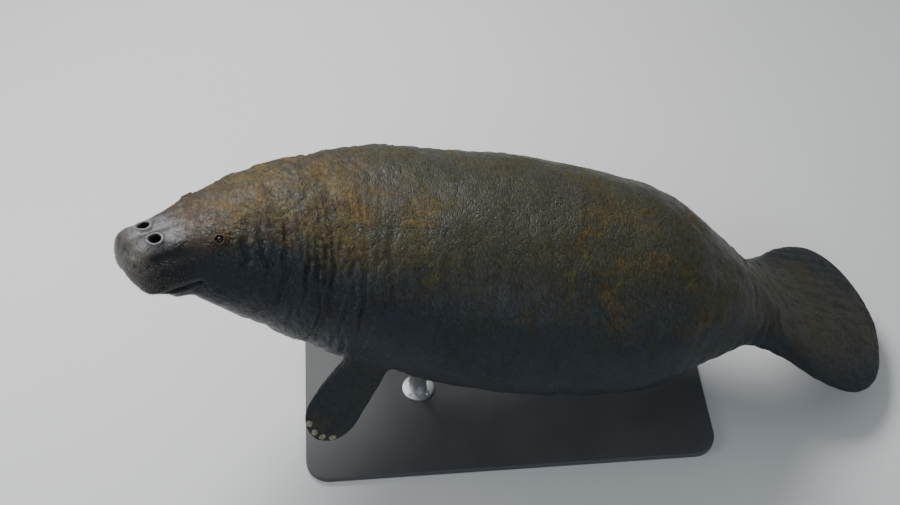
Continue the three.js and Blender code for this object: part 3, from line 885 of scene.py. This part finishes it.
# The hide's dark grey, darkened with painted shade, for the sides and underside.
SLATE = (0.0045, 0.0135, 0.0215)
DEEP_SLATE = (0.0018, 0.0027, 0.0038)
BACK_BROWN = (0.038, 0.037, 0.026)
MUZZLE_GREY = (0.130, 0.128, 0.140)
TIP_BROWN = (0.088, 0.076, 0.062)
BELLY_GREY = (0.040, 0.041, 0.043)
PALE_RIM = (0.24, 0.23, 0.24)
OLIVE = (0.050, 0.047, 0.015)
OCHRE = (0.125, 0.078, 0.016)
RUST = (0.050, 0.021, 0.008)
BROW_BROWN = (0.022, 0.014, 0.007)
# Near black for painted shade in creases and hollows.
CREASE_SHADE = (0.003, 0.003, 0.003)
FLECK = (0.20, 0.195, 0.18)


def skin_finish():
    """Wet blue slate hide with a mauve-grey muzzle, rust, ochre and olive growth, and painted shade on the
    lower sides, down the muzzle's sides, and in creases and hollows.
    """
    f = Finish("hide")
    groove, pale, algae, crown = f.value("groove"), f.value("pale"), f.value("algae"), f.value("crown")
    flank, muzzle, whisker = f.value("flank"), f.value("muzzle"), f.value("whisker")
    tip, brow = f.value("tip"), f.value("brow")
    broad = f.noise(2.6, 4)
    patchy = f.noise(9.0, 6, 0.64, 0.6)
    fine = f.noise(46.0, 5, 0.6)
    grain = f.noise(260.0, 3, 0.6)

    # Painted shade: from the brown back, the sides and underside darken to slate, which is partly the
    # hide's own dark grey.
    side = f.ease(flank + 0.24 * (broad - 0.5) + 0.12 * (patchy - 0.5), 0.14, 0.36)
    hide = f.mix(side, BACK_BROWN, SLATE)
    hide = f.mix(f.ease(flank, 0.76, 1.0), hide, BELLY_GREY)
    # Painted shade: the grey muzzle turns near black down its sides and the lower part of its front.
    nose = f.mix(f.ease(flank + 0.14 * (fine - 0.5), 0.08, 0.22), MUZZLE_GREY, DEEP_SLATE)
    nose = f.mix(0.85 * tip * f.ease(fine, 0.30, 0.55), nose, TIP_BROWN)
    hide = f.mix(muzzle, hide, nose)
    hide = f.mix(0.65 * f.ease(patchy, 0.40, 0.66), hide, DEEP_SLATE)

    bloom = f.ease(patchy + 0.6 * (broad - 0.5) + 0.34 * (fine - 0.5), 0.36, 0.66)
    patches = f.ease(patchy + 0.9 * (broad - 0.5) + 0.4 * (fine - 0.5), 0.54, 0.70)
    crust = f.ease(patchy + 0.5 * (fine - 0.5), 0.28, 0.58)
    tint = f.ease(f.noise(6.0, 4, 0.6), 0.38, 0.62)
    rusty = f.ease(f.noise(21.0, 5, 0.65), 0.45, 0.62)
    thick_growth = f.mix(0.8 * rusty, f.mix(tint, OLIVE, OCHRE), RUST)
    hide = f.mix(0.75 * algae * bloom, hide, OLIVE)
    hide = f.mix(0.7 * algae * patches, hide, thick_growth)
    hide = f.mix(0.92 * crown * crust, hide, thick_growth)
    brow_growth = brow * f.ease(fine + 0.6 * (patchy - 0.5), 0.42, 0.54)
    hide = f.mix(brow_growth, hide, f.mix(rusty, RUST, BROW_BROWN))

    flecks = f.ease(f.noise(95.0, 3, 0.7), 0.64, 0.74)
    hide = f.mix(0.22 * flecks * f.ease(broad, 0.35, 0.6), hide, FLECK)

    across = f.warped(7.0, 0.06, f.stretched((1.8, 1.0, 1.0)))
    folds = f.creases(13.0, 0.045, across)
    lines = f.creases(34.0, 0.05, across)
    plates = f.ease(f.cracks(42.0, across), 0.0, 0.18)
    cells = f.ease(f.cracks(110.0, across), 0.0, 0.2)
    # Painted shade along the crease lines and cracks of the hide.
    hide = f.mix(0.4 * (1 - lines) + 0.35 * (1 - plates) * (1 - muzzle), hide, CREASE_SHADE)

    wandering = f.warped(60.0, 0.004)
    dots = f.node("ShaderNodeTexVoronoi", {"feature": "F1"}, {"Vector": wandering, "Scale": 105.0})
    speckled = whisker + 0.7 * muzzle * f.ease(flank, 0.20, 0.34)
    pore = (1 - f.ease(dots + 0.35 * (fine - 0.5), 0.05, 0.21)) * f.ease(speckled, 0.0, 1.0)
    hide = f.mix(0.7 * pore, hide, FLECK)
    hide = f.mix(0.75 * pale * f.ease(fine, 0.25, 0.55), hide, PALE_RIM)
    # Painted shade where the groove value is high: creases, nostrils, mouth slot, ear holes and eye
    # sockets.
    hide = f.mix(f.ease(groove, 0.05, 0.95), hide, CREASE_SHADE)

    # Heights in millimetres
    rough_patch = f.ease(broad, 0.30, 0.70, 0.5, 1.15)
    deep = (1.0 * folds + 0.8 * lines) * (1 - 0.55 * muzzle) + 0.55 * plates * (1 - muzzle)
    shallow = 0.35 * cells + 1.2 * fine * (1 - 0.3 * muzzle)
    surface = (deep + shallow) * rough_patch + 0.26 * grain - 0.4 * pore
    relief = f.bump(surface + 1.6 * crown * crust * fine, MM)
    overgrown = 0.2 * algae * bloom + 0.2 * crown * crust
    dull = 0.40 + overgrown - 0.03 * muzzle + 0.16 * (fine - 0.5) + 0.25 * groove
    return f.set(base_color=hide, roughness=dull, specular_ior_level=0.34, normal=relief)


def eye_finish():
    """A dark wet eye: black pupil in a brown iris, set in a reddish ball."""
    f = Finish("wet_eye")
    streaks = f.noise(900.0, 4)
    black, dark_brown = (0.001, 0.001, 0.001), (0.006, 0.003, 0.002)
    brown, red = (0.035, 0.016, 0.008), (0.05, 0.02, 0.016)
    stops = [(0.0, black), (0.23, black), (0.27, brown), (0.48, brown), (0.53, dark_brown), (0.60, red)]
    place = f.value("gaze") + 0.03 * (streaks - 0.5)
    colour = f.node("ShaderNodeValToRGB", {"stops": stops}, {"Fac": place})
    colour = f.mix(0.5 * streaks, colour, dark_brown)
    return f.set(base_color=colour, roughness=0.16 + 0.06 * streaks, specular_ior_level=0.4)


def nail_finish():
    f = Finish("horn")
    streak = f.noise(150.0, 4, 0.6, 0.6, f.stretched((1.0, 1.0, 0.25)))
    colour = f.mix(f.ease(streak, 0.3, 0.7), (0.30, 0.25, 0.17), (0.13, 0.105, 0.075))
    colour = f.mix(f.ease(f.noise(420.0, 3), 0.55, 0.75), colour, (0.05, 0.045, 0.035))
    relief = f.bump(streak, 0.0006, 0.7)
    return f.set(base_color=colour, roughness=0.32 + 0.2 * streak, normal=relief)


def bristle_finish():
    f = Finish("bristle")
    tint = f.noise(70.0, 3)
    colour = f.mix(f.ease(tint, 0.35, 0.65), (0.30, 0.26, 0.20), (0.12, 0.10, 0.08))
    return f.set(base_color=colour, roughness=0.38 + 0.1 * tint)


def paint_finish():
    """Matt dark grey powder coat with a fine orange-peel grain."""
    f = Finish("powder_coat")
    peel = f.noise(520.0, 2)
    dust = f.noise(3.2, 5, 0.6)
    colour = f.mix(f.ease(dust, 0.35, 0.7), (0.050, 0.054, 0.058), (0.066, 0.069, 0.072))
    relief = f.bump(peel, 0.0004, 0.5)
    return f.set(base_color=colour, roughness=0.50 + 0.16 * dust, normal=relief)


def steel_finish():
    """Steel brushed round the tube."""
    f = Finish("brushed_tube")
    lines = f.noise(1.0, 3, 0.7, 0.0, f.stretched((14.0, 14.0, 900.0)))
    smear = f.noise(9.0, 4)
    colour = f.mix(lines, (0.46, 0.47, 0.48), (0.60, 0.61, 0.62))
    relief = f.bump(lines, 0.0002, 0.4)
    rough = 0.34 + 0.16 * lines + 0.1 * smear
    return f.set(base_color=colour, metallic=1.0, roughness=rough, normal=relief)


def rubber_finish():
    f = Finish("rubber")
    fine = f.noise(240.0, 3)
    colour = f.mix(fine, (0.012, 0.012, 0.012), (0.025, 0.025, 0.025))
    return f.set(base_color=colour, roughness=0.7 + 0.15 * fine)


# Bristles and hairs


class Maker(Nodes):
    """A geometry tree that makes a mesh from named sizes and gives it a finish."""

    def __init__(self, name, inputs):
        super().__init__(bpy.data.node_groups.new(name, "GeometryNodeTree"))
        for label, kind in {**inputs, "Finish": "Material"}.items():
            self.tree.interface.new_socket(label, in_out="INPUT", socket_type=f"NodeSocket{kind}")
        self.tree.interface.new_socket("Made", in_out="OUTPUT", socket_type="NodeSocketGeometry")
        self.inputs = self.tree.nodes.new("NodeGroupInput").outputs

    def given(self, label):
        return Wire(self, self.inputs[label])

    def end(self, made):
        real = self.node("GeometryNodeRealizeInstances", {}, {"Geometry": made})
        sockets = {"Geometry": real, "Material": self.given("Finish")}
        dressed = self.node("GeometryNodeSetMaterial", {}, sockets)
        self.feed(self.tree.nodes.new("NodeGroupOutput").inputs["Made"], dressed)

    def make(self, name, base, finish, **sizes):
        """What the tree makes of a base mesh with these sizes, as an object with a plain mesh."""
        made = new_object(name, base)
        modifier = made.modifiers.new(name, "NODES")
        modifier.node_group = self.tree
        sockets = {item.name: item.identifier for item in self.tree.interface.items_tree}
        for label, value in {**sizes, "finish": finish}.items():
            modifier[sockets[label.replace("_", " ").capitalize()]] = value
        mesh = evaluated_mesh(made)
        made.modifiers.remove(modifier)
        made.data = mesh
        mesh.name = name
        return made


BRISTLE_SIDES = 5
BRISTLE_POINTS = BRISTLE_SIDES + 1
PATCH = 0.0015  # radius of a bristle's patch on the unwrap


def bristle_maker():
    """Tapered bristles on a skin, thick where a named value of the skin is high, leaning along its lie."""
    sizes = dict.fromkeys(("Per square metre", "Length", "Thickness", "Spread"), "Float")
    m = Maker("bristles", {"Skin": "Geometry", "Where": "String", **sizes, "Seed": "Int"})
    seed = m.given("Seed")
    where = m.node("GeometryNodeInputNamedAttribute", {"data_type": "FLOAT"}, {"Name": m.given("Where")})
    roots = m.node(
        "GeometryNodeDistributePointsOnFaces",
        {"distribute_method": "RANDOM"},
        {"Mesh": m.given("Skin"), "Density": where * m.given("Per square metre"), "Seed": seed},
    )
    lie = m.node("GeometryNodeInputNamedAttribute", {"data_type": "FLOAT_VECTOR"}, {"Name": "lie"})
    along = m.node("FunctionNodeAlignRotationToVector", {"axis": "Z"}, {"Vector": lie})
    turns = m.node(
        "FunctionNodeRandomValue",
        {"data_type": "FLOAT_VECTOR"},
        {"Min": -1.0 * m.given("Spread"), "Max": m.given("Spread"), "Seed": seed},
    )
    tilt = m.node("FunctionNodeEulerToRotation", {}, {"Euler": turns})
    pointing = m.node(
        "FunctionNodeRotateRotation", {"rotation_space": "LOCAL"}, {"Rotation": along, "Rotate By": tilt}
    )
    cone = {"Vertices": BRISTLE_SIDES, "Radius Top": 0.0, "Radius Bottom": m.given("Thickness")}
    cone["Depth"] = m.given("Length")
    spike = m.node("GeometryNodeMeshCone", {"fill_type": "NGON"}, cone)
    sink = m.node("ShaderNodeCombineXYZ", {}, {"Z": -0.12 * m.given("Length")})
    rooted = m.node("GeometryNodeTransform", {}, {"Geometry": spike, "Translation": sink})
    sizes = m.node("FunctionNodeRandomValue", {"data_type": "FLOAT"}, {2: 0.55, 3: 1.15, "Seed": seed}, 1)
    m.end(m.node(
        "GeometryNodeInstanceOnPoints",
        {},
        {"Points": roots, "Instance": rooted, "Rotation": pointing, "Scale": sizes},
    ))
    return m


def grow_bristles(name, skin, maker, finish, **sizes):
    """Bristles as a plain mesh, with each one's patch at its root's place on the skin's unwrap."""
    grown = maker.make(name, skin.data, finish, **sizes)
    mesh = grown.data
    root_u, root_v = np.empty(len(mesh.vertices)), np.empty(len(mesh.vertices))
    mesh.attributes["skin_u"].data.foreach_get("value", root_u)
    mesh.attributes["skin_v"].data.foreach_get("value", root_v)
    corners = np.empty(len(mesh.loops), int)
    mesh.loops.foreach_get("vertex_index", corners)
    turn = 2 * np.pi * (corners % BRISTLE_POINTS) / BRISTLE_POINTS
    patch_u, patch_v = root_u[corners] + PATCH * np.cos(turn), root_v[corners] + PATCH * np.sin(turn)
    patch = np.stack([patch_u, patch_v], -1)
    while mesh.uv_layers:
        mesh.uv_layers.remove(mesh.uv_layers[0])
    mesh.uv_layers.new(name="OFBake").data.foreach_set("uv", patch.ravel())
    for spare in [*Skin.names, "lie"]:
        if spare in mesh.attributes:
            mesh.attributes.remove(mesh.attributes[spare])
    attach(grown, "root")
    return grown


# Eyes and nails


def ball_grid(rows, sides):
    """Angles from pole to pole, poles left out, and angles round the axis, at each point of a ball."""
    columns = np.linspace(0, 2 * np.pi, sides, endpoint=False)
    return np.meshgrid(np.linspace(0, np.pi, rows)[1:-1], columns, indexing="ij")


def make_eye(side, finish):
    """A finer ball where the solid one is, with a low cornea over the iris."""
    node = f"eye_{side}"
    low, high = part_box(node)
    centre = np.array((low + high) / 2) / MM
    radius = min(high - low) / 2 / MM
    angle = HAND[side] * math.radians(EYE["around"])
    _, back, across, out = skin_frame(EYE["station"], angle)
    row, column = ball_grid(EYE_ROWS, EYE_SIDES)
    bulge = radius * (1 + 0.05 * bell(row, 0, 0.5))
    ring = back * np.cos(column)[..., None] + across * np.sin(column)[..., None]
    points = centre + bulge[..., None] * (ring * np.sin(row)[..., None] + out * np.cos(row)[..., None])
    mesh, _ = closed_rings(f"eyeball_{side}", points)
    gaze = np.concatenate([[0], row.ravel(), [np.pi]]) / (np.pi / 2)
    mesh.attributes.new("gaze", "FLOAT", "POINT").data.foreach_set("value", gaze)
    mesh.materials.append(finish)
    ball = new_object(f"eyeball_{side}", mesh)
    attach(ball, "root")
    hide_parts(node)


def nail_points(side, number):
    """A nail as rings of points: flat below, arched above, blunt in front."""
    share = NAIL["first"] + NAIL["spacing"] * number
    tip = FLIPPER["length"] - FLIPPER["round from"]
    distance = FLIPPER["round from"] + tip * math.sqrt(1 - share**2) - NAIL["inset"]
    angle = math.acos(share / flipper_rounding(distance))
    point = flipper_point(side, distance, angle)
    ahead_of = unit(flipper_point(side, distance + 4, angle) - point)
    beside = unit(flipper_point(side, distance, angle - 0.04) - point)
    out = unit(np.cross(beside, ahead_of))
    _, _, _, thick = flipper_frame(side)
    out = out if out @ thick > 0 else -out
    wide = unit(np.cross(out, ahead_of))
    along = np.cross(wide, out)
    row, column = ball_grid(NAIL_ROWS, NAIL_SIDES)
    girth = np.sin(row) ** 0.75
    length = NAIL["long"] * np.sign(np.cos(row)) * np.abs(np.cos(row)) ** 0.9
    over = NAIL["wide"] * girth * np.cos(column)
    above = NAIL["thick"] * girth * np.sin(column) * (1 + 0.1 * np.cos(row))
    return point + along * length[..., None] + wide * over[..., None] + out * above[..., None]


def make_nails(side, finish):
    shapes = [nail_points(side, number) for number in range(NAIL["count"])]
    mesh, _ = joined_rings(f"nails_{side}", shapes)
    mesh.materials.append(finish)
    nails = new_object(f"nails_{side}", mesh)
    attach(nails, "root")
    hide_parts(*[f"nail_{side}_{i + 1}" for i in range(NAIL["count"])])


# Display stand

BASE = {"corner": 0.09, "edge": 0.003, "inner ring": 0.012, "corner steps": 20, "edge steps": 5}
COLLAR = {"radius": 0.062, "thick": 0.010, "edge": 0.002}
SCREWS = {"count": 4, "circle": 0.048, "radius": 0.0065, "flatness": 0.6}
CUP = {"radius": 0.052, "height": 0.030, "lip": 0.012, "neck": 0.008, "wall": 0.005, "clearance": 0.001}
TUBE_SUNK = 0.010  # how far the tube runs on inside the cup
SHARP_ANGLE = 35


def turned(profile, sides, centre):
    """A closed turned shape from (radius, height) pairs, as rings of points in millimetres."""
    turn = np.linspace(0, 2 * np.pi, sides, endpoint=False)
    rings = [
        np.stack([centre[0] + r * np.cos(turn), centre[1] + r * np.sin(turn), np.full(sides, z)], -1)
        for r, z in profile
    ]
    return np.array(rings) / MM


def make_base(finish):
    """The base plate, with round corners and a small rolled edge."""
    low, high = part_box("stand_base")
    half_x, half_y = (high.x - low.x) / 2, (high.y - low.y) / 2
    quarter = np.linspace(0, np.pi / 2, BASE["corner steps"])
    middle = (low + high) / 2

    def outline(inset, z):
        reach = BASE["corner"] - inset
        corners = []
        for i, (sx, sy) in enumerate([(1, 1), (-1, 1), (-1, -1), (1, -1)]):
            turn = quarter + i * np.pi / 2
            x = middle.x + sx * (half_x - BASE["corner"]) + reach * np.cos(turn)
            y = middle.y + sy * (half_y - BASE["corner"]) + reach * np.sin(turn)
            corners.append(np.stack([x, y, np.full_like(x, z)], -1))
        return np.vstack(corners)

    steps = np.linspace(0, np.pi / 2, BASE["edge steps"])
    edge = BASE["edge"]
    rings = [outline(BASE["inner ring"], low.z)]
    rings += [outline(edge * (1 - np.sin(t)), low.z + edge * (1 - np.cos(t))) for t in steps]
    rings += [outline(edge * (1 - np.cos(t)), high.z - edge * (1 - np.sin(t))) for t in steps]
    rings += [outline(BASE["inner ring"], high.z)]
    mesh, _ = closed_rings("base_plate", np.array(rings) / MM)
    mesh.set_sharp_from_angle(angle=math.radians(SHARP_ANGLE))
    mesh.materials.append(finish)
    plate = new_object("base_plate", mesh)
    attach(plate, "root")
    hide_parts("stand_base")


def rounded_disc(radius, bottom, top, edge):
    """Profile of a disc with a rounded upper edge."""
    rounding = [(radius, top - edge), (radius - edge * 0.3, top - edge * 0.3), (radius - edge, top)]
    return [(radius * 0.4, bottom), (radius, bottom), *rounding, (radius * 0.4, top)]


def screw_maker():
    """Round-headed screws, evenly spaced on a level circle about a place."""
    sizes = dict.fromkeys(("Circle", "Radius"), "Float")
    m = Maker("collar_screws", {"Screws": "Int", **sizes, "Place": "Vector"})
    circle = m.node(
        "GeometryNodeMeshCircle",
        {"fill_type": "NONE"},
        {"Vertices": m.given("Screws"), "Radius": m.given("Circle")},
    )
    turned_circle = m.node(
        "GeometryNodeTransform",
        {},
        {"Geometry": circle, "Translation": m.given("Place"), "Rotation": (0, 0, math.radians(45))},
    )
    ball = {"Segments": 24, "Rings": 12, "Radius": m.given("Radius")}
    head = m.node("GeometryNodeMeshUVSphere", {}, ball)
    flattened = {"Geometry": head, "Scale": (1, 1, SCREWS["flatness"])}
    low_head = m.node("GeometryNodeTransform", {}, flattened)
    smooth = m.node("GeometryNodeSetShadeSmooth", {}, {"Geometry": low_head})
    m.end(m.node("GeometryNodeInstanceOnPoints", {}, {"Points": turned_circle, "Instance": smooth}))
    return m


def make_rod(name, steel, rubber, screws):
    """A steel tube that runs from a screwed collar on the base into a rubber cup under the belly."""
    low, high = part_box(f"stand_rod_{name}")
    x, y = (low.x + high.x) / 2, (low.y + high.y) / 2
    radius, foot, top = (high.x - low.x) / 2, low.z, high.z
    tube_top = top + TUBE_SUNK
    tube = [(radius * 0.4, foot), (radius, foot), (radius, tube_top), (radius * 0.4, tube_top)]
    collar = rounded_disc(COLLAR["radius"], foot, foot + COLLAR["thick"], COLLAR["edge"])
    bottom, lip = top - CUP["height"], CUP["lip"]
    cup = [(radius + CUP["clearance"], bottom - lip), (radius + CUP["wall"], bottom - lip)]
    cup += [(radius + CUP["neck"], bottom), (CUP["radius"], top - lip), (CUP["radius"], top + lip)]
    cup += [(radius * 0.5, top + lip)]
    shapes = [turned(profile, TUBE_SIDES, (x, y)) for profile in (tube, collar, cup)]
    mesh, counts = joined_rings(f"rod_{name}", shapes)
    mesh.materials.append(steel)
    mesh.materials.append(rubber)
    mesh.polygons.foreach_set("material_index", np.repeat([0, 0, 1], counts))
    mesh.set_sharp_from_angle(angle=math.radians(SHARP_ANGLE))
    rod = new_object(f"rod_{name}", mesh)
    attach(rod, "root")
    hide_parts(f"stand_rod_{name}")
    heads = screws.make(
        f"collar_screws_{name}", bpy.data.meshes.new("collar"), steel,
        screws=SCREWS["count"], circle=SCREWS["circle"], radius=SCREWS["radius"],
        place=(x, y, foot + COLLAR["thick"]),
    )
    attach(heads, "root")


# Room, light and camera

CAMERA = {"azimuth": -4.5, "elevation": 49.5, "distance": 4.4, "lens": 50.9, "sensor": 36.0}
CAMERA_TARGET = (-0.212, 0.0, 0.837)
FLOOR_REACH = 20.0
FLOOR_DROP = 0.001  # below the base's underside
SKY_COLOUR = (0.80, 0.84, 0.88)
SKY_STRENGTH = 0.38


def make_room():
    f = Finish("pale_floor")
    tone = f.noise(0.8, 3)
    colour = f.mix(tone, (0.60, 0.61, 0.61), (0.66, 0.665, 0.665))
    material = f.set(base_color=colour, roughness=0.62 + 0.1 * tone)
    signs = ((-1, -1), (1, -1), (1, 1), (-1, 1))
    corners = [(FLOOR_REACH * x, FLOOR_REACH * y, -FLOOR_DROP) for x, y in signs]
    mesh = bpy.data.meshes.new("floor")
    mesh.from_pydata(corners, [], [(0, 1, 2, 3)])
    mesh.materials.append(material)
    new_object("floor", mesh)
    world = bpy.data.worlds.new("studio")
    world.use_nodes = True
    sky = world.node_tree.nodes["Background"]
    sky.inputs["Color"].default_value = (*SKY_COLOUR, 1)
    sky.inputs["Strength"].default_value = SKY_STRENGTH
    bpy.context.scene.world = world


def facing(place, target):
    """A matrix at a place that looks at a target."""
    back = (Vector(place) - Vector(target)).normalized()
    right = Vector((0, 0, 1)).cross(back).normalized()
    return Matrix.Translation(place) @ Matrix((right, back.cross(right), back)).transposed().to_4x4()


def make_light(name, place, target, size, power, colour):
    lamp = bpy.data.lights.new(name, "AREA")
    lamp.shape, lamp.size, lamp.energy, lamp.color = "DISK", size, power, colour
    new_object(name, lamp).matrix_world = facing(place, target)


def make_camera():
    azimuth, elevation = math.radians(CAMERA["azimuth"]), math.radians(CAMERA["elevation"])
    flat = math.cos(elevation)
    back = Vector((math.sin(azimuth) * flat, -math.cos(azimuth) * flat, math.sin(elevation)))
    camera = bpy.data.cameras.new("camera")
    camera.sensor_width, camera.lens = CAMERA["sensor"], CAMERA["lens"]
    target = Vector(CAMERA_TARGET)
    made = new_object("camera", camera)
    made.matrix_world = facing(target + back * CAMERA["distance"], target)
    bpy.context.scene.camera = made


make_camera()
make_room()
make_light("key", (-1.6, 2.6, 4.6), (-0.4, 0, 0.8), 2.6, 330, (1.0, 0.98, 0.95))
make_light("fill", (1.5, -4.5, 3.2), (0.0, 0, 0.7), 3.4, 70, (0.78, 0.89, 1.0))
make_light("rim", (-4.2, -0.6, 2.4), (-0.8, 0, 0.9), 1.8, 70, (0.95, 0.98, 1.0))

skin = make_skin()
skin.data.materials.clear()
skin.data.materials.append(skin_finish())
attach(skin, "root")
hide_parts(*FLESH)

eye_surface, nail_surface, bristle_surface = eye_finish(), nail_finish(), bristle_finish()
for side in HAND:
    make_eye(side, eye_surface)
    make_nails(side, nail_surface)

bristles = bristle_maker()
grow_bristles(
    "lip_bristles", skin, bristles, bristle_surface,
    where="whisker", per_square_metre=30000.0, length=0.010, thickness=0.0005, spread=0.4, seed=3,
)
grow_bristles(
    "body_hairs", skin, bristles, bristle_surface,
    where="hair", per_square_metre=800.0, length=0.022, thickness=0.00013, spread=0.4, seed=4,
)

steel_surface, rubber_surface, screws = steel_finish(), rubber_finish(), screw_maker()
make_base(paint_finish())
for name in ("front", "rear"):
    make_rod(name, steel_surface, rubber_surface, screws)
